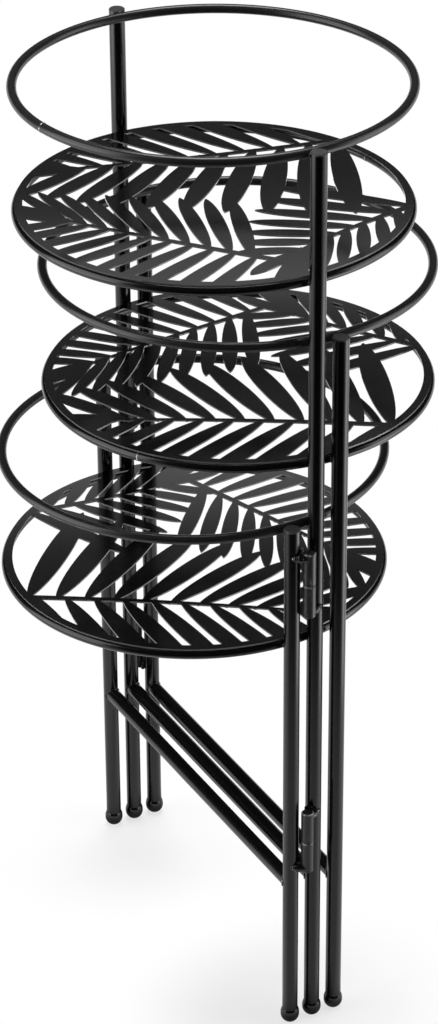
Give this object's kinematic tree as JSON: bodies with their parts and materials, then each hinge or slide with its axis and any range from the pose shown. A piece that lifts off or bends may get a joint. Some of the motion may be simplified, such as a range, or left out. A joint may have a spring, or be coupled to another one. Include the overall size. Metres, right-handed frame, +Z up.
{
  "type": "folding plant stand",
  "caption": "Folding plant stand of hinged black tube frames, each with a round leaf-cut shelf and a wire guard ring above it to hold a pot.",
  "frame": {"origin": "centre of the bounding box's underside: on the floor below the middle of the tall frame, with the stand folded", "axes": "+Z up, +Y from the front posts to the rear posts, +X from the short frame to the medium one"},
  "size_m": [0.277, 0.277, 0.6062],
  "materials": {
    "frame_paint": "semi-gloss",
    "panel_paint": "satin",
    "hinge_paint": "satin",
    "foot_plastic": "gloss",
    "cap_plastic": "satin",
    "pin_steel": "bright"
  },
  "bodies": {
    "tall_frame": {"tall_front_post": "frame_paint", "tall_front_foot": "foot_plastic", "tall_front_cap": "cap_plastic", "tall_rear_post": "frame_paint", "tall_rear_foot": "foot_plastic", "tall_rear_cap": "cap_plastic", "tall_crossbar": "frame_paint", "tall_shelf_ring": "frame_paint", "tall_leaf_panel": "panel_paint", "tall_guard_ring": "frame_paint", "front_lower_hinge_upper_barrel": "hinge_paint", "front_upper_hinge_lower_barrel": "hinge_paint", "rear_lower_hinge_upper_barrel": "hinge_paint", "rear_upper_hinge_lower_barrel": "hinge_paint", "front_lower_hinge_pin": "pin_steel", "front_upper_hinge_pin": "pin_steel", "rear_lower_hinge_pin": "pin_steel", "rear_upper_hinge_pin": "pin_steel"},
    "short_frame": {"short_front_post": "frame_paint", "short_front_foot": "foot_plastic", "short_front_cap": "cap_plastic", "short_rear_post": "frame_paint", "short_rear_foot": "foot_plastic", "short_rear_cap": "cap_plastic", "short_crossbar": "frame_paint", "short_shelf_ring": "frame_paint", "short_leaf_panel": "panel_paint", "short_guard_ring": "frame_paint", "front_lower_hinge_lower_barrel": "hinge_paint", "front_upper_hinge_upper_barrel": "hinge_paint"},
    "medium_frame": {"medium_front_post": "frame_paint", "medium_front_foot": "foot_plastic", "medium_front_cap": "cap_plastic", "medium_rear_post": "frame_paint", "medium_rear_foot": "foot_plastic", "medium_rear_cap": "cap_plastic", "medium_crossbar": "frame_paint", "medium_shelf_ring": "frame_paint", "medium_leaf_panel": "panel_paint", "medium_guard_ring": "frame_paint", "rear_lower_hinge_lower_barrel": "hinge_paint", "rear_upper_hinge_upper_barrel": "hinge_paint"}
  },
  "joints": [
    {"name": "short_frame_swing", "type": "hinge", "parent": "tall_frame", "child": "short_frame", "pos_m": [-0.008, -0.1345, 0.2355], "axis": [0, 0, 1], "range_deg": [0, 180]},
    {"name": "medium_frame_swing", "type": "hinge", "parent": "tall_frame", "child": "medium_frame", "pos_m": [0.008, 0.1345, 0.2355], "axis": [0, 0, 1], "range_deg": [0, 180]}
  ]
}
